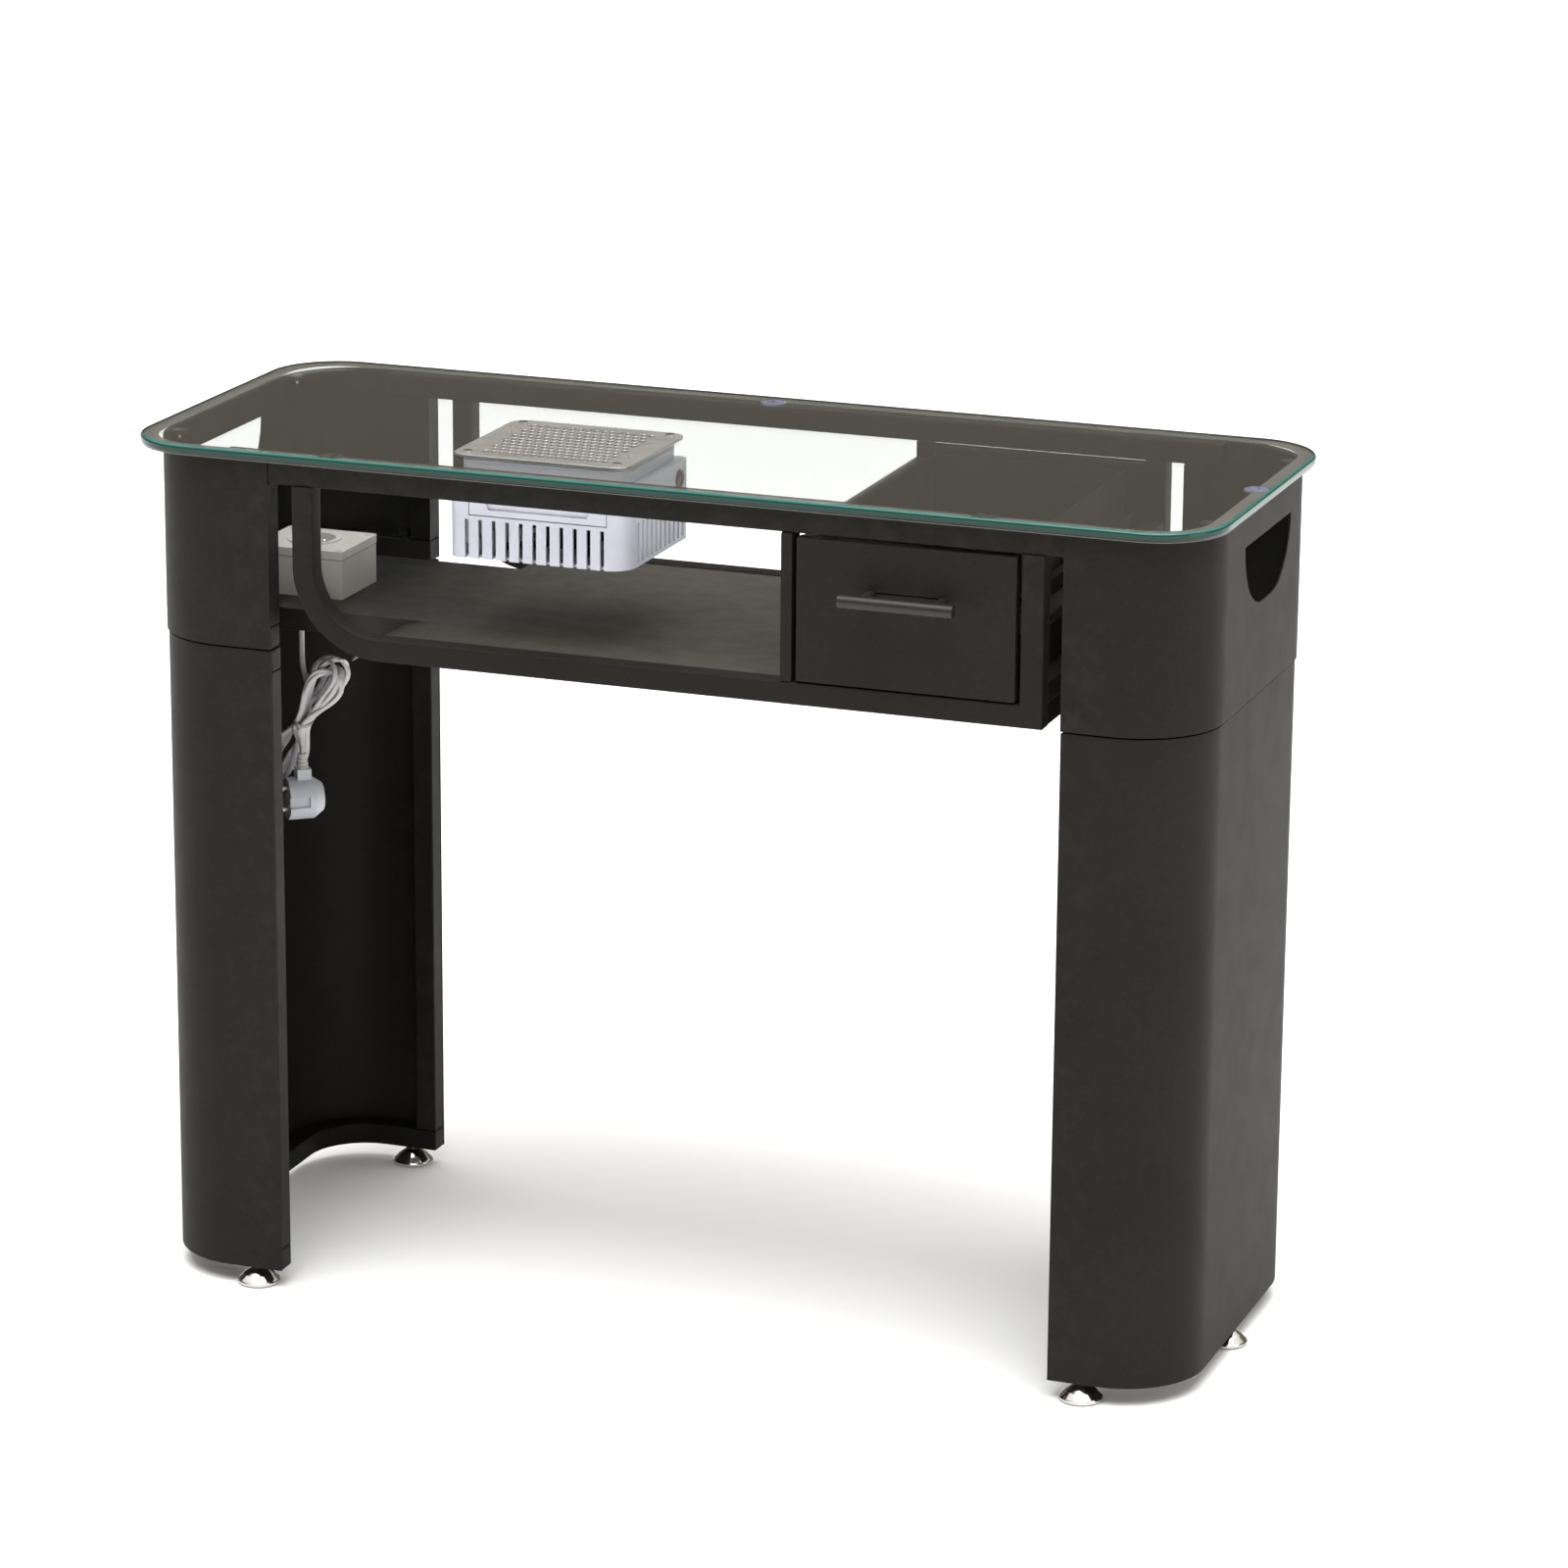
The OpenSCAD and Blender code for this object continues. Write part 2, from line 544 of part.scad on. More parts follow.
module plug_body() {
    color([0.86, 0.87, 0.88]) at_plug() difference() {
        union() {
            rotate([0, 90, 0]) translate([0, 0, -15]) cylinder(h = 24, r = 19.5);
            rotate([0, 90, 0]) translate([0, 0, 9]) cylinder(h = 9, r1 = 19.5, r2 = 13);
            translate([-6, -7, 0]) cube([13, 14, 28]);
        }
        for (s = [-1, 1]) {
            // grooves for the earth clips
            translate([-16, s > 0 ? 16 : -20.5, -5]) cube([19, 4.5, 10]);
            rotate([0, -90, 0]) translate([s * 9.5, 0, 11]) cylinder(h = 6, r = 2.45);
        }
    }
}
module plug_pins() {
    color([0.8, 0.78, 0.7]) at_plug() for (s = [-1, 1]) {
        rotate([0, -90, 0]) translate([s * 9.5, 0, 11]) cylinder(h = 20.6, r = 2.4);
        translate([-31.6, 0, s * 9.5]) difference() {
            sphere(r = 2.4);
            translate([0, -5, -5]) cube([10, 10, 10]);
        }
    }
}
module plug_strain_relief() {
    color([0.84, 0.85, 0.86]) translate([plug_x, plug_y, plug_z + 28]) difference() {
        rotate_extrude() polygon([[0, 0], [5.9, 0], [5.9, 2], [4.7, 2.4], [4.7, 3.2], [5.5, 3.6], [5.5, 5.4],
            [4.3, 5.8], [4.3, 6.6], [5.0, 7], [5.0, 8.8], [4, 9.2], [4, 10], [4.5, 10.4], [4.5, 12], [3.8, 14], [0, 14]]);
        translate([0, 0, 8]) cylinder(h = 8, r = 2.6);
    }
}

// ---- dust collector -----------------------------------------------------
module col_slab(l, w, rf, rb, z0, z1) {
    translate([col_x, col_y, z0]) linear_extrude(z1 - z0) rr4(-l / 2, l / 2, -w / 2, w / 2, rf, rb);
}
// the housing's plan has a small left front corner and a large right one
module house_slab(l, w, rl, rr, rb, z0, z1) {
    translate([col_x, col_y, z0]) linear_extrude(z1 - z0) {
        intersection() {
            rr4(-l / 2, l / 2, -w / 2, w / 2, rl, rb);
            translate([-l, -w]) square([l + 0.01, 2 * w]);
        }
        intersection() {
            rr4(-l / 2, l / 2, -w / 2, w / 2, rr, rb);
            translate([0, -w]) square([l, 2 * w]);
        }
    }
}
plate_scr = [for (sx = [-1, 1], sy = [-1, 1]) [col_x + sx * 70, col_y + sy * 62.5]];
module collector_plate() {
    px = 7.5;
    py = 10.9;
    color([0.62, 0.6, 0.56]) difference() {
        col_slab(plate_l, plate_w, 15, 15, table_h, table_h + 2.5);
        for (j = [0:plate_rows - 1])
            for (i = [0:plate_n - 1 - (j % 2)])
                translate([col_x + (i - (plate_n - 1 - (j % 2)) / 2) * px, col_y + (j - (plate_rows - 1) / 2) * py, table_h - 1])
                    linear_extrude(5) {
                        square([5.6, 2.4], center = true);
                        for (s = [-1.2, 1.2]) translate([0, s]) circle(r = 2.8);
                    }
        for (p = plate_scr) rod(p[0], p[1], table_h - 1, table_h + 4, 2.2);
    }
}
module collector_plate_screws() {
    color([0.75, 0.74, 0.72]) for (p = plate_scr) difference() {
        union() {
            rod(p[0], p[1], table_h - 11, table_h + 2.5, 2);
            rod(p[0], p[1], table_h + 2.5, table_h + 4, 4);
        }
        for (a = [0, 90]) translate([p[0], p[1], table_h + 4]) rotate([0, 0, a + 20]) cube([5, 0.9, 1.6], center = true);
    }
}
module collector_neck() {
    color([0.86, 0.88, 0.92]) difference() {
        union() {
            difference() {
                col_slab(neck_l, neck_w, 11, 11, col_z1, table_h);
                col_slab(neck_l - 5, neck_w - 5, 8.5, 8.5, col_z1 - 1, table_h + 1);
            }
            // slats of the moulded grille under the plate
            for (j = [0:plate_rows - 1]) {
                y = col_y + (j - (plate_rows - 1) / 2) * 10.9;
                box(col_x - neck_l / 2 + 2, col_x + neck_l / 2 - 2, y - 3.8, y + 3.8, table_h - 3.5, table_h - 0.8);
            }
            for (p = plate_scr) intersection() {
                rod(p[0], p[1], col_z1, table_h, 4.5);
                col_slab(neck_l, neck_w, 11, 11, col_z1, table_h);
            }
        }
        for (p = plate_scr) rod(p[0], p[1], table_h - 14, table_h + 1, 2.1);
    }
}
tray_x0 = col_x - 65;
tray_x1 = col_x + 65;
module collector_housing() {
    y0 = col_y - col_w / 2;
    y1 = col_y + col_w / 2;
    x0 = col_x - col_l / 2;
    x1 = col_x + col_l / 2;
    color([0.9, 0.9, 0.95]) difference() {
        house_slab(col_l, col_w, 10, 22, 8, col_z0, col_z1);
        house_slab(col_l - 5, col_w - 5, 7.5, 19.5, 5.5, col_z0 + 2.5, col_z1 - 2.5);
        col_slab(neck_l - 5, neck_w - 5, 8.5, 8.5, col_z1 - 5, col_z1 + 1);
        // mouth of the filter tray
        box(tray_x0, tray_x1, y0 - 1, y0 + 5, 728.5, 749.5);
        // outlet slots
        for (i = [-5:5]) {
            box(col_x + i * 12.7 - 5, col_x + i * 12.7 - 1.2, y0 - 1, y0 + 5, 689, 725);
            box(col_x + i * 13 - 2, col_x + i * 13 + 2, y1 - 2.6, y1 + 1, 694, 740);
        }
        for (i = [-5:5], x = [x0 - 1, x1 - 5])
            box(x, x + 6, col_y + i * 10.6 + 5.5 - 2.1, col_y + i * 10.6 + 5.5 + 2.1, 693.5, 729);
        rod_x(x1 - 4, x1 + 2, col_y + 50, 741, 7.2);
    }
}
module filter_tray() {
    y0 = col_y - col_w / 2;
    color([0.87, 0.87, 0.93]) {
        difference() {
            union() {
                box(tray_x0 + 0.6, tray_x1 - 0.6, y0, y0 + 4, 729.1, 748.9);
                box(tray_x0 + 2, tray_x1 - 2, y0 + 4, y0 + 134, 731, 747);
            }
            box(tray_x0 + 4, tray_x1 - 4, y0 + 6, y0 + 132, 733, 748);
            box(tray_x0 + 9, tray_x1 - 9, y0 + 11, y0 + 127, 730, 734);
            // finger pull, wider at the top
            translate([col_x, y0 + 2.6, 738.5]) rotate([90, 0, 0]) linear_extrude(6)
                polygon([[-52, 7.5], [52, 7.5], [46, -4], [-46, -4]]);
        }
    }
}
module filter_pad() {
    y0 = col_y - col_w / 2;
    color([0.93, 0.93, 0.9]) box(tray_x0 + 4.4, tray_x1 - 4.4, y0 + 6.4, y0 + 131.6, 733, 745);
}
module fan_motor() {
    color([0.12, 0.12, 0.13]) {
        rod(col_x, col_y, col_z0 + 2.5, 702, 20);
        for (a = [0:90:270]) translate([col_x, col_y, 0]) rotate([0, 0, a + 45]) box(18, 62, -3, 3, col_z0 + 2.5, 698);
        rod(col_x, col_y, 702, 722, 2.4);
    }
}
module fan_impeller() {
    color([0.16, 0.16, 0.17]) difference() {
        union() {
            rod(col_x, col_y, 703, 721, 21);
            for (a = [0:360 / 7:359]) translate([col_x, col_y, 712]) rotate([0, 0, a]) translate([36, 0, 0]) rotate([38, 0, 0])
                cube([34, 20, 1.6], center = true);
        }
        rod(col_x, col_y, 702, 722.5, 2.45);
    }
}
sw_x = col_x + col_l / 2;
sw_y = col_y + 50;
sw_z = 741;
module fan_switch_bezel() {
    color([0.1, 0.1, 0.1]) difference() {
        union() {
            rod_x(sw_x - 10, sw_x + 0.01, sw_y, sw_z, 7);
            rod_x(sw_x, sw_x + 1.2, sw_y, sw_z, 8.4);
        }
        rod_x(sw_x - 8, sw_x + 2, sw_y, sw_z, 6);
    }
}
module fan_switch_rocker() {
    color([0.16, 0.16, 0.16]) translate([sw_x - 2.4, sw_y, sw_z]) rotate([0, 8, 0]) {
        intersection() {
            translate([-3.5, 0, 0]) rotate([0, 90, 0]) cylinder(h = 7, r = 5.4);
            translate([-3.5, -4.2, -4.9]) cube([7, 8.4, 9.8]);
        }
        translate([0, -5.3, 0]) rotate([-90, 0, 0]) cylinder(h = 10.6, r = 1.2);
    }
}

place() glass_top();
place() glass_edge_border();
place() glass_pads();
place() top_rails();
place() leg_top_bands();
place() ring_screws();
place() upper_leg_left();
place() upper_leg_right();
place() upper_leg_posts();
place() upper_leg_rims();
place() lower_leg_left();
place() lower_leg_right();
place() lower_leg_posts();
place() lower_leg_top_rims();
place() lower_leg_bottom_rims();
place() leg_joint_bolts();
place() front_loop();
place() rear_loop();
place() bay_posts();
place() bay_cross_members();
place() bay_partition();
place() shelf_tray();
place() slide_outer_members();
place() slide_middle_members();
place() slide_inner_members();
place() drawer_box();
place() drawer_front();
place() drawer_handle_bar();
place() drawer_handle_posts();
place() drawer_handle_screws();
place() foot_front_left();
place() foot_rear_left();
place() foot_outer_left();
place() foot_front_right();
place() foot_rear_right();
place() foot_outer_right();
place() foot_inserts();
place() outlet_box_base();
place() outlet_box_lid();
place() outlet_insert();
place() outlet_earth_pin();
place() outlet_box_screws();
place() cord_gland();
place() cord_lead();
place() cord_hank();
place() cord_tail();
place() cord_tie();
place() plug_body();
place() plug_pins();
place() plug_strain_relief();
place() collector_plate();
place() collector_plate_screws();
place() collector_neck();
place() collector_housing();
place() filter_tray();
place() filter_pad();
place() fan_motor();
place() fan_impeller();
place() fan_switch_bezel();
place() fan_switch_rocker();
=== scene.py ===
import bpy
import bmesh
import math
from mathutils import Matrix, Vector


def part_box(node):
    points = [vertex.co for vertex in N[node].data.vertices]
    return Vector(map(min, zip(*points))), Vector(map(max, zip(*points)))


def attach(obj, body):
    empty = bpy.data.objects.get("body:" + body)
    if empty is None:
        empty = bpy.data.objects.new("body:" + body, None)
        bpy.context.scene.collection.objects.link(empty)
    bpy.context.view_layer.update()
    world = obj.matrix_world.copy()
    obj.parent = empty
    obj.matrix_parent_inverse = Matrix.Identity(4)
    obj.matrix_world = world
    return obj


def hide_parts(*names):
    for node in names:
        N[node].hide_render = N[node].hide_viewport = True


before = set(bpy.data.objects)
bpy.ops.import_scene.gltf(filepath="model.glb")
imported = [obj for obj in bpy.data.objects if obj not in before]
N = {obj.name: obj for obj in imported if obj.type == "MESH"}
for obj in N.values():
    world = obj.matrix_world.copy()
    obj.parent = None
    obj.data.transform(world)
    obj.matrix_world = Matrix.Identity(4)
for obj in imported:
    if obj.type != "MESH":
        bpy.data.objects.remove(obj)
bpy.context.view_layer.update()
YS = 0.0135  # the CAD's place() shift


def P(x, y, z):
    """A point given in millimetres before the part's place() shift, in metres in the row frame."""
    return Vector((x / 1000.0, y / 1000.0 + YS, z / 1000.0))


scene = bpy.context.scene
scene.view_settings.view_transform = "Standard"
scene.view_settings.look = "None"
scene.view_settings.exposure = 0.0
scene.view_settings.gamma = 1.0

# ---------------------------------------------------------------- camera
yaw, pitch, roll = math.radians(20.12), math.radians(15.95), math.radians(0.43)
fwd = Vector((-math.sin(yaw) * math.cos(pitch), math.cos(yaw) * math.cos(pitch), -math.sin(pitch)))
right = fwd.cross(Vector((0, 0, 1))).normalized()
up = right.cross(fwd).normalized()
r2 = math.cos(roll) * right + math.sin(roll) * up
u2 = -math.sin(roll) * right + math.cos(roll) * up
cam_data = bpy.data.cameras.new("camera")
cam_data.sensor_width = 36.0
cam_data.sensor_fit = "HORIZONTAL"
cam_data.lens = 5923.65 * 36.0 / 1600.0
cam_data.clip_start = 0.05
cam_data.clip_end = 200.0
cam = bpy.data.objects.new("camera", cam_data)
mat = Matrix((r2, u2, -fwd)).transposed().to_4x4()
mat.translation = P(1770.03, -4674.78, 1895.35)
cam.matrix_world = mat
scene.collection.objects.link(cam)
scene.camera = cam


# ---------------------------------------------------------------- mesh helpers
def new_mesh(name, verts, faces, smooth=True):
    me = bpy.data.meshes.new(name)
    me.from_pydata([tuple(v) for v in verts], [], faces)
    me.update()
    if smooth:
        for p in me.polygons:
            p.use_smooth = True
    o = bpy.data.objects.new(name, me)
    scene.collection.objects.link(o)
    return o


def sweep(name, pts, profile, wide_dirs, caps=True):
    """A tube of the given closed profile [(wide, thin)] along pts; wide_dirs are the directions of the profile's first axis."""
    n, m = len(pts), len(profile)
    verts, faces = [], []
    for i, p in enumerate(pts):
        a, b = pts[max(i - 1, 0)], pts[min(i + 1, n - 1)]
        t = (b - a).normalized()
        w = wide_dirs[i] - t * wide_dirs[i].dot(t)
        w.normalize()
        h = t.cross(w)
        for u, v in profile:
            verts.append(p + w * u + h * v)
    for i in range(n - 1):
        for k in range(m):
            k2 = (k + 1) % m
            faces.append((i * m + k, i * m + k2, (i + 1) * m + k2, (i + 1) * m + k))
    if caps:
        faces.append(tuple(reversed(range(m))))
        faces.append(tuple(range((n - 1) * m, n * m)))
    return new_mesh(name, verts, faces)


def hermite(p0, d0, p1, d1, n):
    out = []
    for i in range(n):
        t = i / n
        h00 = 2 * t**3 - 3 * t**2 + 1
        h10 = t**3 - 2 * t**2 + t
        h01 = -2 * t**3 + 3 * t**2
        h11 = t**3 - t**2
        out.append(p0 * h00 + d0 * h10 + p1 * h01 + d1 * h11)
    return out


# ---------------------------------------------------------------- the mains lead
CORD_D = 0.0048
HA = math.radians(32)
HO = P(-401.5, -24, 490)
EX = Vector((math.cos(HA), 0, -math.sin(HA)))
EZ = Vector((math.sin(HA), 0, math.cos(HA)))
EY = Vector((0, 1, 0))
TURNS = 7
W0 = 3.2
FAN_T = [-4.2, 3.4, -2.4, 5.2, 0.6, -5.0, 2.4]
FAN_B = [2.4, -0.6, 3.4, 0.2, 1.6, 4.0, 0.9]
TWIST_B = [26.0, -44.0, 52.0, -56.0, 40.0, -34.0, 20.0]
TOP_C = [52.5, 46.0, 55.5, 49.0, 43.5, 53.0, 47.5]
BOT_C = [41.5, 45.0, 38.5, 43.5, 40.0, 44.0, 39.0]
TWIST = [10.0, -38.0, 58.0, -62.0, 46.0, -30.0, 12.0]


def hank_point(turn, phase):
    """phase 0..1 of one turn: from the tie down the left side, round the bottom, up the right, round the top, down to the tie."""
    k = turn % TURNS
    kn = min(turn + 1, TURNS - 1)
    rb, rt = 14.5, 15.2
    tb, tt = BOT_C[k], TOP_C[k]
    arcs = [tb * 1.06, math.pi * rb, tb * 1.06, tt * 1.05, math.pi * rt, tt * 1.05]
    total = sum(arcs)
    d = phase * total
    i = 0
    while i < 5 and d > arcs[i]:
        d -= arcs[i]
        i += 1
    f = min(max(d / arcs[i], 0.0), 1.0)

    def width(r, u):
        return W0 + (r - W0) * math.sin(math.pi / 2 * u) ** 2
    if i == 0:
        s, t = -width(rb, f), -tb * f
    elif i == 1:
        a = math.pi * f
        s, t = -rb * math.cos(a), -tb - rb * math.sin(a)
    elif i == 2:
        s, t = width(rb, 1 - f), -tb * (1 - f)
    elif i == 3:
        s, t = width(rt, f), tt * f
    elif i == 4:
        a = math.pi * f
        s, t = rt * math.cos(a), tt + rt * math.sin(a)
    else:
        s, t = -width(rt, 1 - f), tt * (1 - f)
    # each turn leans its own way, so the loops fan out from the tie
    if t > 0:
        s += FAN_T[k] * math.sin(min(t / 50.0, 1.2) * math.pi / 2) ** 2
    else:
        s += FAN_B[k] * math.sin(min(-t / 42.0, 1.2) * math.pi / 2) ** 2
    q = (turn + phase) / TURNS
    y = 12.0 - 24.0 * q
    y *= 0.86 + 0.14 * min(abs(t) / 30.0, 1.0)
    if t > 0:
        # the upper loops stand at different angles, so the bundle looks full
        ph = math.radians(TWIST[k]) * math.sin(min(t / 34.0, 1.0) * math.pi / 2) ** 2
        mid = FAN_T[k] * math.sin(min(t / 50.0, 1.2) * math.pi / 2) ** 2
        y += (s - mid) * math.sin(ph)
        s = mid + (s - mid) * math.cos(ph)
    else:
        ph = math.radians(TWIST_B[k]) * math.sin(min(-t / 34.0, 1.0) * math.pi / 2) ** 2
        mid = FAN_B[k] * math.sin(min(-t / 42.0, 1.2) * math.pi / 2) ** 2
        y += (s - mid) * math.sin(ph)
        s = mid + (s - mid) * math.cos(ph)
    return HO + (EX * s + EZ * t + EY * y) / 1000.0


route = []
wide = []
lead_top = P(-402, -24, 617.5)
for i in range(10):
    route.append(lead_top.lerp(P(-402, -24, 552), i / 10.0))
    wide.append(Vector((1, 0, 0)))
hp0 = hank_point(0, 0.0)
hd0 = (hank_point(0, 0.01) - hp0).normalized()
seg = hermite(P(-402, -24, 552), Vector((0, 0, -0.066)), hp0, hd0 * 0.062, 12)
for i, p in enumerate(seg):
    route.append(p)
    wide.append(Vector((1, 0, 0)).lerp(EY, i / 11.0))
STEP = 64
for k in range(TURNS):
    for j in range(STEP):
        route.append(hank_point(k, j / STEP))
        wide.append(EY * 0.62 + EX * 0.62)
hp1 = hank_point(TURNS - 1, 1.0)
hd1 = (hp1 - hank_point(TURNS - 1, 0.99)).normalized()
tail_end = P(-394, -45, 460.2)
seg = hermite(hp1, hd1 * 0.034, P(-394, -45, 468), Vector((0, 0, -0.030)), 12)
for i, p in enumerate(seg):
    route.append(p)
    wide.append(EY.lerp(Vector((0.8, -0.6, 0)), i / 11.0))
for i in range(4):
    route.append(P(-394, -45, 468).lerp(tail_end, i / 3.0))
    wide.append(Vector((0.8, -0.6, 0)))
prof = []
for k in range(16):
    a = 2 * math.pi * k / 16
    x = CORD_D / 2 * math.cos(a)
    y = 0.0016 * math.sin(a) * (1 - 0.24 * math.exp(-((x / 0.00055) ** 2)))
    y *= 1.0 / max(0.55, abs(math.sin(a)) ** 0.35) if abs(math.sin(a)) > 0.01 else 1.0
    prof.append((x, max(-0.0016, min(0.0016, y))))
cord = sweep("mains_lead", route, prof, wide)
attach(cord, "frame")
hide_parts("cord_lead", "cord_hank", "cord_tail")


# ---------------------------------------------------------------- materials
class Mat:
    """A Principled material with small helpers for its node tree."""

    def __init__(self, name):
        self.m = bpy.data.materials.new(name)
        self.m.use_nodes = True
        self.t = self.m.node_tree
        self.n = self.t.nodes
        self.b = self.n["Principled BSDF"]
        self.out = self.n["Material Output"]
        self.tc = self.n.new("ShaderNodeTexCoord")

    def set(self, **kw):
        names = {"rough": "Roughness", "metal": "Metallic", "spec": "Specular IOR Level", "coat": "Coat Weight",
                 "coat_rough": "Coat Roughness", "trans": "Transmission Weight", "ior": "IOR", "alpha": "Alpha",
                 "sss": "Subsurface Weight", "aniso": "Anisotropic", "sheen": "Sheen Weight"}
        for k, v in kw.items():
            self.b.inputs[names[k]].default_value = v
        return self

    def link(self, a, b):
        self.t.links.new(a, b)

    def coords(self, scale=(1, 1, 1), rot=(0, 0, 0), loc=(0, 0, 0)):
        mp = self.n.new("ShaderNodeMapping")
        mp.inputs["Scale"].default_value = scale
        mp.inputs["Rotation"].default_value = rot
        mp.inputs["Location"].default_value = loc
        self.link(self.tc.outputs["Object"], mp.inputs["Vector"])
        return mp.outputs["Vector"]

    def noise(self, scale, detail=4.0, rough=0.55, vec=None, dist=0.0):
        t = self.n.new("ShaderNodeTexNoise")
        t.inputs["Scale"].default_value = scale
        t.inputs["Detail"].default_value = detail
        t.inputs["Roughness"].default_value = rough
        t.inputs["Distortion"].default_value = dist
        self.link(vec if vec is not None else self.tc.outputs["Object"], t.inputs["Vector"])
        return t.outputs["Fac"]

    def ramp(self, fac, stops):
        r = self.n.new("ShaderNodeValToRGB")
        e = r.color_ramp.elements
        e[0].position, e[0].color = stops[0][0], (*stops[0][1], 1) if len(stops[0][1]) == 3 else stops[0][1]
        e[1].position, e[1].color = stops[-1][0], (*stops[-1][1], 1)
        for p, c in stops[1:-1]:
            x = e.new(p)
            x.color = (*c, 1)
        self.link(fac, r.inputs["Fac"])
        return r.outputs["Color"]

    def maprange(self, v, a, b, c, d):
        m = self.n.new("ShaderNodeMapRange")
        for i, x in zip(("From Min", "From Max", "To Min", "To Max"), (a, b, c, d)):
            m.inputs[i].default_value = x
        self.link(v, m.inputs["Value"])
        return m.outputs["Result"]

    def math(self, op, a, b=None):
        m = self.n.new("ShaderNodeMath")
        m.operation = op
        for i, v in enumerate((a, b)):
            if v is None:
                continue
            if isinstance(v, (int, float)):
                m.inputs[i].default_value = v
            else:
                self.link(v, m.inputs[i])
        return m.outputs[0]

    def mixc(self, fac, a, b, mode="MIX"):
        m = self.n.new("ShaderNodeMix")
        m.data_type = "RGBA"
        m.blend_type = mode
        ins = {"f": m.inputs[0], "a": m.inputs[6], "b": m.inputs[7]}
        for k, v in (("f", fac), ("a", a), ("b", b)):
            if isinstance(v, (int, float)):
                ins[k].default_value = v
            elif isinstance(v, (tuple, list)):
                ins[k].default_value = (*v, 1) if len(v) == 3 else v
            else:
                self.link(v, ins[k])
        return m.outputs[2]

    def bump(self, height, strength, distance, normal=None):
        b = self.n.new("ShaderNodeBump")
        b.inputs["Strength"].default_value = strength
        b.inputs["Distance"].default_value = distance
        self.link(height, b.inputs["Height"])
        if normal is not None:
            self.link(normal, b.inputs["Normal"])
        return b.outputs["Normal"]

    def color(self, sock):
        self.link(sock, self.b.inputs["Base Color"])

    def rough(self, sock):
        self.link(sock, self.b.inputs["Roughness"])

    def normal(self, sock):
        self.link(sock, self.b.inputs["Normal"])


def powder_coat(name, dark, light, rough=(0.49, 0.54), grain=1500, dust=0.04, spec=0.09, shade_towards_x0=None):
    """Satin powder coat: fine orange peel, cloudy colour, rubbed edges and a little dust; it can paint shade darkening
    towards x0.
    """
    m = Mat(name).set(spec=spec)
    cloud = m.noise(7.0, 3.0, 0.5)
    fine = m.noise(260.0, 3.0, 0.6)
    base = m.ramp(cloud, [(0.32, dark), (0.68, light)])
    speck = m.ramp(fine, [(0.35, tuple(c * 0.88 for c in dark)), (0.7, tuple(min(1, c * 1.14) for c in light))])
    col = m.mixc(0.35, base, speck)
    # rubbed edges
    geo = m.n.new("ShaderNodeNewGeometry")
    edge = m.maprange(geo.outputs["Pointiness"], 0.53, 0.62, 0.0, 1.0)
    wearn = m.maprange(m.noise(60.0, 4.0), 0.45, 0.7, 0.0, 1.0)
    wear = m.math("MULTIPLY", edge, wearn)
    wear = m.math("MULTIPLY", wear, 0.35)
    col = m.mixc(wear, col, tuple(min(1, c * 2.6 + 0.01) for c in light))
    # thin dust in soft patches
    dn = m.maprange(m.noise(3.2, 6.0, 0.65), 0.5, 0.78, 0.0, dust)
    col = m.mixc(m.math("MULTIPLY", dn, 0.22), col, (0.22, 0.2, 0.175))
    if shade_towards_x0:
        # painted shade: the colour darkens towards x0, where the leg shell and outlet box shade the shelf
        sx = m.n.new("ShaderNodeSeparateXYZ")
        m.link(m.tc.outputs["Object"], sx.inputs[0])
        col = m.mixc(m.maprange(sx.outputs["X"], shade_towards_x0[0], shade_towards_x0[1], 1.0, 0.0), col, shade_towards_x0[2])
    m.color(col)
    m.rough(m.maprange(m.noise(34.0, 4.0), 0.3, 0.7, *rough))
    peel = m.noise(grain, 2.0, 0.5)
    fine_n = m.bump(peel, 0.12, 0.0004)
    wave = m.noise(60.0, 2.0, 0.5)
    m.normal(m.bump(wave, 0.012, 0.0005, fine_n))
    return m.m


PAINT_DARK = (0.0128, 0.0118, 0.0098)
PAINT_LIGHT = (0.0168, 0.0155, 0.0130)
paint = powder_coat("paint_satin_charcoal", PAINT_DARK, PAINT_LIGHT)
# painted shade: a darker copy of the same charcoal paint for the parts inside the legs and bays
paint_inner_shaded = powder_coat("paint_charcoal_painted_shade", (0.0062, 0.0058, 0.0046), (0.0090, 0.0084, 0.0068), (0.45, 0.6), spec=0.12)
# painted light and shade: the shelf is a lighter copy of the charcoal paint for the light it lacks under the glass, and
# darker towards x0 where the leg and outlet box shade it
paint_shelf_lit_shaded = powder_coat("paint_shelf_painted_light_and_shade", (0.058, 0.052, 0.043), (0.072, 0.065, 0.054), (0.40, 0.52), dust=0.2, spec=0.3,
                          shade_towards_x0=(-0.34, -0.13, (0.013, 0.012, 0.010)))
paint_front = powder_coat("paint_drawer_front", (0.0142, 0.0131, 0.0109), (0.0182, 0.0169, 0.0142), (0.46, 0.56))
paint_box = powder_coat("paint_drawer_box", (0.020, 0.0180, 0.0150), (0.027, 0.0245, 0.0205), (0.42, 0.55))
paint_handle = powder_coat("paint_handle", (0.0125, 0.0118, 0.0102), (0.0175, 0.0166, 0.0145), (0.28, 0.38), grain=2500, dust=0.0, spec=0.4)


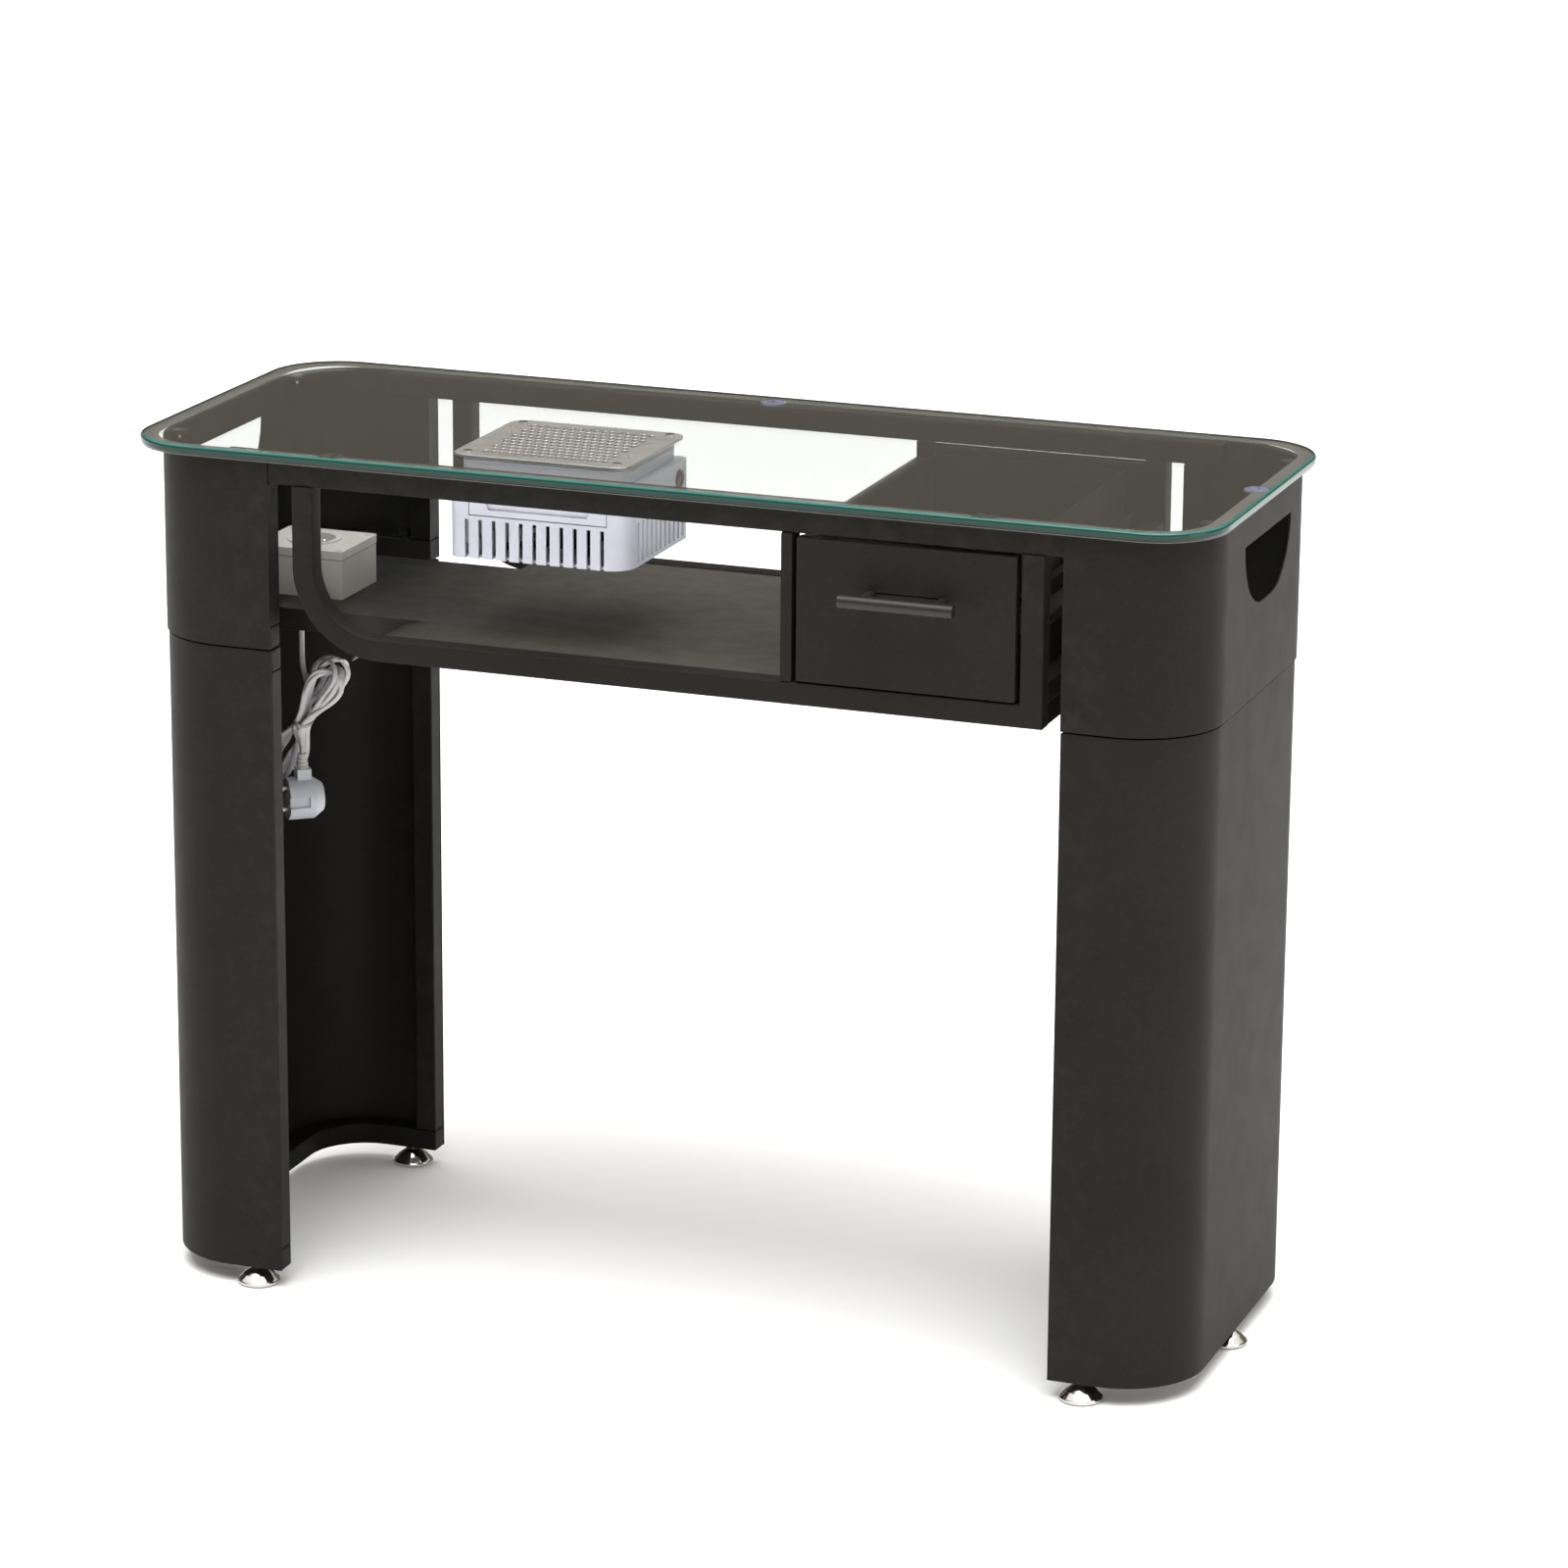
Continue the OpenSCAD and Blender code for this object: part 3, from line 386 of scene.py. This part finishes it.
def steel(name, base=(0.60, 0.585, 0.55), rough=(0.26, 0.4), scale=(14, 900, 900), bump=0.12, tint=0.85):
    m = Mat(name).set(metal=1.0)
    v = m.coords(scale)
    streak = m.noise(1.0, 5.0, 0.65, v)
    cloud = m.noise(16.0, 4.0)
    col = m.ramp(streak, [(0.25, tuple(c * tint for c in base)), (0.75, base)])
    col = m.mixc(m.math("MULTIPLY", m.maprange(cloud, 0.35, 0.7, 0, 1), 0.25), col, tuple(c * 0.75 for c in base))
    m.color(col)
    m.rough(m.maprange(streak, 0.3, 0.7, *rough))
    m.normal(m.bump(streak, bump, 0.0003))
    return m.m


plate_steel = steel("steel_perforated_plate", (0.60, 0.585, 0.55), (0.36, 0.50), (30, 700, 700), 0.10)
dark_zinc = steel("steel_black_zinc", (0.045, 0.043, 0.040), (0.4, 0.55), (120, 300, 120), 0.08)
zinc = steel("steel_zinc_plated", (0.52, 0.53, 0.55), (0.3, 0.45), (120, 300, 120), 0.08)


def chrome(name, base=(0.78, 0.76, 0.72), rough=(0.08, 0.2)):
    m = Mat(name).set(metal=1.0)
    n = m.noise(90.0, 4.0)
    m.color(m.ramp(n, [(0.3, tuple(c * 0.82 for c in base)), (0.7, base)]))
    m.rough(m.maprange(m.noise(40.0, 5.0), 0.35, 0.7, *rough))
    m.normal(m.bump(m.noise(600.0, 2.0), 0.03, 0.0002))
    return m.m


foot_chrome = chrome("chrome_foot")
screw_chrome = chrome("chrome_screw", (0.80, 0.79, 0.76), (0.14, 0.28))
nickel = chrome("nickel_pins", (0.70, 0.67, 0.60), (0.18, 0.32))


def plastic(name, base, rough=(0.32, 0.44), sss=0.0, grain=1800.0, bump=0.06, dust=0.15, ao_shade_distance=0.0):
    m = Mat(name).set(spec=0.5, sss=sss)
    if sss:
        m.b.inputs["Subsurface Radius"].default_value = (0.004, 0.004, 0.005)
        m.b.inputs["Subsurface Scale"].default_value = 0.5
    cloud = m.noise(26.0, 4.0)
    col = m.ramp(cloud, [(0.3, tuple(c * 0.93 for c in base)), (0.7, base)])
    dn = m.maprange(m.noise(11.0, 6.0, 0.7), 0.52, 0.8, 0.0, dust)
    col = m.mixc(dn, col, tuple(c * 0.72 for c in base))
    if ao_shade_distance:
        # painted shade: the colour darkens where ambient occlusion finds slots and corners
        ao = m.n.new("ShaderNodeAmbientOcclusion")
        ao.samples = 6
        ao.inputs["Distance"].default_value = ao_shade_distance
        col = m.mixc(m.maprange(ao.outputs["AO"], 0.25, 0.70, 0.82, 0.0), col, tuple(c * 0.22 for c in base))
    m.color(col)
    m.rough(m.maprange(m.noise(70.0, 3.0), 0.3, 0.7, *rough))
    m.normal(m.bump(m.noise(grain, 2.0), bump, 0.0003))
    return m.m


white_pl = plastic("plastic_white", (0.72, 0.73, 0.83), (0.3, 0.42), sss=0.06, ao_shade_distance=0.005)
grey_pl = plastic("plastic_warm_grey", (0.52, 0.505, 0.47), (0.4, 0.52), sss=0.05, grain=2400)


def box_plastic():
    """The outlet box's base, with a painted shadow line under its lid."""
    m = Mat("plastic_box_base_painted_shadow").set(spec=0.5, sss=0.05)
    m.b.inputs["Subsurface Radius"].default_value = (0.004, 0.004, 0.005)
    m.b.inputs["Subsurface Scale"].default_value = 0.5
    base = (0.50, 0.475, 0.43)
    col = m.ramp(m.noise(26.0, 4.0), [(0.3, tuple(c * 0.92 for c in base)), (0.7, base)])
    sep = m.n.new("ShaderNodeSeparateXYZ")
    m.link(m.tc.outputs["Object"], sep.inputs[0])
    z1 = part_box("outlet_box_base")[1][2]
    # painted shadow: a dark band along the top of the base stands in for the shade under the lid's edge
    col = m.mixc(m.maprange(sep.outputs["Z"], z1 - 0.0014, z1 - 0.0008, 0.0, 0.75), col, (0.10, 0.095, 0.085))
    m.color(col)
    m.rough(m.maprange(m.noise(70.0, 3.0), 0.3, 0.7, 0.4, 0.52))
    m.normal(m.bump(m.noise(2400.0, 2.0), 0.06, 0.0003))
    return m.m


box_pl = box_plastic()
outlet_pl = plastic("plastic_outlet", (0.56, 0.55, 0.52), (0.3, 0.4), sss=0.05)
black_pl = plastic("plastic_black", (0.012, 0.012, 0.013), (0.35, 0.5))
plug_pl = plastic("plastic_plug", (0.62, 0.65, 0.70), (0.28, 0.4), sss=0.15)
boot_pl = plastic("plastic_boot", (0.62, 0.60, 0.54), (0.4, 0.5), sss=0.15)
tie_pl = plastic("plastic_tie", (0.45, 0.45, 0.45), (0.4, 0.5))
pvc = plastic("pvc_lead", (0.74, 0.73, 0.74), (0.38, 0.5), sss=0.1, grain=900, bump=0.1)
# painted light: this grey-brown sheet under the glass rim stands in for the room seen through the overhanging glass
painted_backdrop_rim_pl = plastic("rim_painted_backdrop", (0.235, 0.222, 0.196), (0.5, 0.6), dust=0.0)


def fleece(name):
    m = Mat(name).set(spec=0.2, sheen=0.3)
    f = m.noise(900.0, 6.0, 0.7, dist=1.2)
    m.color(m.ramp(f, [(0.3, (0.74, 0.75, 0.76)), (0.7, (0.88, 0.89, 0.90))]))
    m.set(rough=0.95)
    m.normal(m.bump(f, 0.6, 0.0012))
    return m.m


fleece_m = fleece("filter_fleece")


def glass(name):
    m = Mat(name).set(trans=1.0, rough=0.0, ior=1.5, spec=0.5)
    n = m.noise(2.5, 2.0)
    m.color(m.ramp(n, [(0.3, (0.955, 0.982, 0.970)), (0.7, (0.965, 0.987, 0.977))]))
    m.normal(m.bump(m.noise(3.0, 1.0), 0.01, 0.0003))
    # smudges only change the gloss a little
    m.rough(m.maprange(m.noise(14.0, 5.0, 0.7), 0.55, 0.85, 0.0, 0.03))
    return m.m


def glass_edge(name):
    """The polished edge, painted opaque as the green one sees looking along the glass, with painted light towards its
    top.
    """
    m = Mat(name).set(trans=0.0, ior=1.5, coat=0.35, coat_rough=0.04, spec=0.25)
    n = m.noise(20.0, 3.0)
    z = m.n.new("ShaderNodeSeparateXYZ")
    m.link(m.tc.outputs["Object"], z.inputs[0])
    h = m.maprange(z.outputs["Z"], 0.772, 0.780, 0.0, 1.0)
    # painted light: the edge is dark at the bottom and lighter teal towards the top, standing in for the light caught
    # along the glass
    edge_painted_light = m.ramp(h, [(0.0, (0.0008, 0.007, 0.005)), (0.30, (0.0008, 0.018, 0.013)), (0.62, (0.001, 0.034, 0.025)),
                      (0.84, (0.002, 0.055, 0.042)), (1.0, (0.03, 0.17, 0.145))])
    m.color(m.mixc(m.math("MULTIPLY", n, 0.3), edge_painted_light, (0.002, 0.06, 0.045)))
    m.rough(m.maprange(n, 0.3, 0.7, 0.05, 0.14))
    m.normal(m.bump(m.noise(160.0, 2.0), 0.02, 0.0002))
    return m.m


glass_m = glass("glass_clear")
edge_m = glass_edge("glass_green_edge_painted_light")


def pad_mat(name):
    m = Mat(name).set(trans=0.0, ior=1.4, spec=0.3)
    n = m.noise(120.0, 3.0)
    blue = m.ramp(n, [(0.3, (0.26, 0.28, 0.47)), (0.7, (0.34, 0.36, 0.55))])
    # the two pads over the front rail are dark rubber
    sp = m.n.new("ShaderNodeSeparateXYZ")
    m.link(m.tc.outputs["Object"], sp.inputs[0])
    dark = m.ramp(n, [(0.3, (0.020, 0.019, 0.017)), (0.7, (0.030, 0.028, 0.025))])
    m.color(m.mixc(m.maprange(sp.outputs["Y"], -0.12, -0.10, 1.0, 0.0), blue, dark))
    m.rough(m.maprange(n, 0.3, 0.7, 0.2, 0.4))
    m.normal(m.bump(n, 0.05, 0.0002))
    return m.m


pad_m = pad_mat("pad_clear_blue")

MATS = {
    "glass_edge_border": painted_backdrop_rim_pl, "glass_pads": pad_m, "ring_screws": screw_chrome, "leg_joint_bolts": dark_zinc,
    "shelf_tray": paint_shelf_lit_shaded, "drawer_box": paint_box, "bay_partition": paint_inner_shaded, "drawer_front": paint_front,
    "drawer_handle_bar": paint_handle, "drawer_handle_posts": paint_handle, "drawer_handle_screws": zinc,
    "slide_outer_members": dark_zinc, "slide_middle_members": zinc, "slide_inner_members": zinc, "foot_inserts": zinc,
    "outlet_box_base": box_pl, "outlet_box_lid": grey_pl, "outlet_insert": outlet_pl, "outlet_earth_pin": nickel,
    "outlet_box_screws": grey_pl, "cord_gland": boot_pl, "cord_tie": tie_pl,
    "plug_body": plug_pl, "plug_pins": nickel, "plug_strain_relief": boot_pl, "collector_plate": plate_steel,
    "collector_plate_screws": screw_chrome, "collector_neck": white_pl, "collector_housing": white_pl,
    "filter_tray": white_pl, "filter_pad": fleece_m, "fan_motor": black_pl, "fan_impeller": black_pl,
    "fan_switch_bezel": black_pl, "fan_switch_rocker": black_pl,
    "upper_leg_posts": paint_inner_shaded, "upper_leg_rims": paint_inner_shaded, "lower_leg_posts": paint,
    "lower_leg_top_rims": paint_inner_shaded, "lower_leg_bottom_rims": paint_inner_shaded,
}
BEVEL = {
    "upper_leg_left": 0.0004, "upper_leg_right": 0.0004, "lower_leg_left": 0.0004, "lower_leg_right": 0.0004,
    "top_rails": 0.0014, "upper_leg_posts": 0.0016, "lower_leg_posts": 0.0016, 
    "bay_posts": 0.0012, "bay_cross_members": 0.0014, "bay_partition": 0.0005, "shelf_tray": 0.0006, "drawer_box": 0.0005,
    "drawer_front": 0.0010, "drawer_handle_bar": 0.0008, "outlet_box_base": 0.0007, "outlet_box_lid": 0.0009,
    "collector_plate": 0.0004, "collector_neck": 0.0005, "collector_housing": 0.0009, "filter_tray": 0.0008,
    "plug_body": 0.0012, "upper_leg_rims": 0.0014, "lower_leg_top_rims": 0.0014, "lower_leg_bottom_rims": 0.0014,
    "cord_tie": 0.0004, "fan_switch_bezel": 0.0004,
}
for name, o in N.items():
    m = MATS.get(name, foot_chrome if name.startswith("foot_") else paint)
    o.data.materials.clear()
    o.data.materials.append(m)
    if name in BEVEL:
        for p in o.data.polygons:
            p.use_smooth = True
            p.material_index = 0
        if "custom_normal" in o.data.attributes:
            o.data.attributes.remove(o.data.attributes["custom_normal"])
        w = o.modifiers.new("weld", "WELD")
        w.merge_threshold = 0.00002
        b = o.modifiers.new("bevel", "BEVEL")
        b.width = BEVEL[name]
        b.segments = 2
        b.limit_method = "ANGLE"
        b.angle_limit = math.radians(32)
        b.harden_normals = True
        b.use_clamp_overlap = True
    else:
        for p in o.data.polygons:
            p.material_index = 0
cord.data.materials.append(pvc)


def finish_piece(o, m, body, replaces=()):
    o.data.materials.append(m)
    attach(o, body)
    if replaces:
        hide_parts(*replaces)
    return o


# ---------------------------------------------------------------- glass top, with a polished round edge
def rr_points(hl, hw, r, cx=0.0, cy=0.0, n=28):
    """Outline points and outward normals of a rounded rectangle, counter-clockwise."""
    out = []
    for sx, sy, a0 in ((1, 1, 0), (-1, 1, 90), (-1, -1, 180), (1, -1, 270)):
        for i in range(n + 1):
            a = math.radians(a0 + 90.0 * i / n)
            out.append(((cx + sx * (hl - r) + r * math.cos(a), cy + sy * (hw - r) + r * math.sin(a)),
                        (math.cos(a), math.sin(a))))
    return out


def make_glass():
    (x0, y0, z0), (x1, y1, z1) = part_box("glass_top")
    outer = rr_points((x1 - x0) / 2, (y1 - y0) / 2, 0.065, (x0 + x1) / 2, (y0 + y1) / 2, 36)
    inner = rr_points(0.1531 / 2, 0.1381 / 2, 0.0121, -0.120, -0.069 + YS, 8)
    bm = bmesh.new()

    def ring(pts, sign, prof):
        loops = []
        for inset, z in prof:
            loops.append([bm.verts.new((p[0] - sign * n[0] * inset, p[1] - sign * n[1] * inset, z)) for p, n in pts])
        return loops

    z0 += 0.00015  # a hair above the painted-backdrop rim sheet and the pads, whose faces it rests on
    e = 0.0026
    prof = []
    for i in range(7):
        a = math.radians(90.0 * i / 6)
        prof.append((e - e * math.sin(a), z0 + e - e * math.cos(a)))
    for i in range(7):
        a = math.radians(90.0 * i / 6)
        prof.append((e - e * math.cos(a), z1 - e + e * math.sin(a)))
    lo = ring(outer, 1, prof)
    prof_i = [(0.0008, z0), (0.0, z0 + 0.0008), (0.0, z1 - 0.0008), (0.0008, z1)]
    li = ring(inner, -1, prof_i)

    def strip(loops, flip, mi):
        for a, b in zip(loops[:-1], loops[1:]):
            n = len(a)
            for i in range(n):
                j = (i + 1) % n
                q = (a[i], a[j], b[j], b[i])
                f = bm.faces.new(q if not flip else tuple(reversed(q)))
                f.material_index = mi
                f.smooth = True

    strip(lo, False, 1)
    strip(li, True, 1)
    for lo_l, li_l, top in ((lo[0], li[0], False), (lo[-1], li[-1], True)):
        edges = []
        for loop in (lo_l, li_l):
            n = len(loop)
            for i in range(n):
                ed = bm.edges.get((loop[i], loop[(i + 1) % n]))
                edges.append(ed if ed else bm.edges.new((loop[i], loop[(i + 1) % n])))
        res = bmesh.ops.triangle_fill(bm, use_beauty=True, use_dissolve=False, edges=edges)
        for f in res["geom"]:
            if isinstance(f, bmesh.types.BMFace):
                f.material_index = 0
                f.smooth = False
                if (f.normal.z > 0) != top:
                    f.normal_flip()
    bmesh.ops.recalc_face_normals(bm, faces=bm.faces)
    me = bpy.data.meshes.new("glass_plate")
    bm.to_mesh(me)
    bm.free()
    o = bpy.data.objects.new("glass_plate", me)
    scene.collection.objects.link(o)
    o.data.materials.append(glass_m)
    o.data.materials.append(edge_m)
    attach(o, "frame")
    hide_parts("glass_top")
    return o


make_glass()


# ---------------------------------------------------------------- bent square tubes of the two loops
def square_loop(name, node):
    """One square tube with rounded edges: down, round the bend, along, and up after a mitred corner."""
    (x0, y0, z0), (x1, y1, z1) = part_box(node)
    w = y1 - y0
    bend = 0.080
    mid = bend - w / 2
    st = [((x0 + w / 2, z1), (1.0, 0.0)), ((x0 + w / 2, z0 + bend + 0.0005), (1.0, 0.0))]
    n = 40
    for i in range(n + 1):
        a = math.pi + math.pi / 2 * i / n
        st.append(((x0 + bend + mid * math.cos(a), z0 + bend + mid * math.sin(a)), (-math.cos(a), -math.sin(a))))
    c = (x1 - w / 2, z0 + w / 2)
    st.append(((c[0] - 0.03, c[1]), (0.0, 1.0)))
    st.append((c, (-1.0, 1.0)))
    st.append(((c[0], c[1] + 0.03), (-1.0, 0.0)))
    st.append(((c[0], z1), (-1.0, 0.0)))
    h, r, k = w / 2, 0.0022, 5
    prof = []
    for sx, sy, a0 in ((1, 1, 0), (-1, 1, 90), (-1, -1, 180), (1, -1, 270)):
        for i in range(k + 1):
            a = math.radians(a0 + 90.0 * i / k)
            prof.append((sx * (h - r) + r * math.cos(a), sy * (h - r) + r * math.sin(a)))
    m = len(prof)
    yc = (y0 + y1) / 2
    verts, faces = [], []
    for (px, pz), (nx, nz) in st:
        for u, v in prof:
            verts.append((px + nx * u, yc + v, pz + nz * u))
    for i in range(len(st) - 1):
        for j in range(m):
            j2 = (j + 1) % m
            faces.append((i * m + j, i * m + j2, (i + 1) * m + j2, (i + 1) * m + j))
    faces.append(tuple(reversed(range(m))))
    faces.append(tuple(range((len(st) - 1) * m, len(st) * m)))
    o = new_mesh(name, verts, faces)
    bm = bmesh.new()
    bm.from_mesh(o.data)
    bmesh.ops.recalc_face_normals(bm, faces=bm.faces)
    for f in bm.faces:
        f.smooth = len(f.verts) == 4
    bm.to_mesh(o.data)
    bm.free()
    # keep the mitre line and the flat caps crisp
    ed = o.modifiers.new("split", "EDGE_SPLIT")
    ed.split_angle = math.radians(40)
    return finish_piece(o, paint, "frame", (node,))


square_loop("front_loop_tube", "front_loop")
square_loop("rear_loop_tube", "rear_loop")

# ---------------------------------------------------------------- the wire tie, wound tight round the waist of the hank
def make_tie():
    turns, n = 2.15, 96
    pts, dirs = [], []
    for i in range(n + 1):
        a = 2 * math.pi * turns * i / n + 1.2
        lift = (i / n - 0.5) * 3.2
        pts.append(HO + (EX * (6.9 * math.cos(a)) + EY * (14.2 * math.sin(a)) + EZ * lift) / 1000.0)
        dirs.append(EZ.copy())
    # the two ends are twisted together and stand off towards the front
    e0 = pts[-1]
    for i in range(1, 9):
        f = i / 8.0
        pts.append(e0 + (EX * (2.0 * f) - EY * (0.6 * f) + EZ * (3.4 * f)) / 1000.0)
        dirs.append(EZ.lerp(EX, f))
    rim = [(0.0011 * math.cos(2 * math.pi * k / 10), 0.00055 * math.sin(2 * math.pi * k / 10)) for k in range(10)]
    o = sweep("lead_tie_wire", pts, rim, dirs)
    return finish_piece(o, tie_pl, "frame", ("cord_tie",))


tie = make_tie()

# ---------------------------------------------------------------- floor and light
def floor_mat():
    m = Mat("floor_pale").set(spec=0.1)
    n = m.noise(1.5, 4.0)
    m.color(m.ramp(n, [(0.3, (0.86, 0.86, 0.86)), (0.7, (0.88, 0.88, 0.88))]))
    m.set(rough=0.95)
    return m.m


fl = new_mesh("floor", [(-40, -40, 0), (40, -40, 0), (40, 40, 0), (-40, 40, 0)], [(0, 1, 2, 3)], smooth=False)
fl.data.materials.append(floor_mat())

world = bpy.data.worlds.new("world")
scene.world = world
world.use_nodes = True
wn, wl = world.node_tree.nodes, world.node_tree.links
bg = wn["Background"]
wtc = wn.new("ShaderNodeTexCoord")
wsep = wn.new("ShaderNodeSeparateXYZ")
wramp = wn.new("ShaderNodeValToRGB")
wl.new(wtc.outputs["Generated"], wsep.inputs[0])
wl.new(wsep.outputs["Z"], wramp.inputs["Fac"])
el = wramp.color_ramp.elements
el[0].position, el[0].color = 0.0, (0.112, 0.104, 0.085, 1)
el[1].position, el[1].color = 1.0, (1.0, 0.995, 0.985, 1)
for pos, col in ((0.43, (0.112, 0.104, 0.085, 1)), (0.62, (0.72, 0.71, 0.70, 1))):
    x = el.new(pos)
    x.color = col
wl.new(wramp.outputs["Color"], bg.inputs["Color"])
bg.inputs["Strength"].default_value = 1.5


def area(name, loc, target, size, power, color=(1, 1, 1)):
    d = bpy.data.lights.new(name, "AREA")
    d.shape = "RECTANGLE"
    d.size, d.size_y = size
    d.energy = power
    d.color = color
    o = bpy.data.objects.new(name, d)
    o.location = loc
    o.rotation_euler = (Vector(target) - Vector(loc)).to_track_quat("-Z", "Y").to_euler()
    scene.collection.objects.link(o)
    return o


def sun(name, towards, strength, angle, color=(1, 1, 1)):
    d = bpy.data.lights.new(name, "SUN")
    d.energy = strength
    d.angle = math.radians(angle)
    d.color = color
    o = bpy.data.objects.new(name, d)
    o.rotation_euler = Vector(towards).to_track_quat("Z", "Y").to_euler()
    scene.collection.objects.link(o)
    return o


sun("sun_high", (0.10, -0.26, 0.95), 3.5, 50)
area("side_right", (3.4, -0.6, 1.3), (0.2, 0, 0.5), (1.6, 2.2), 16, (1.0, 0.95, 0.88))
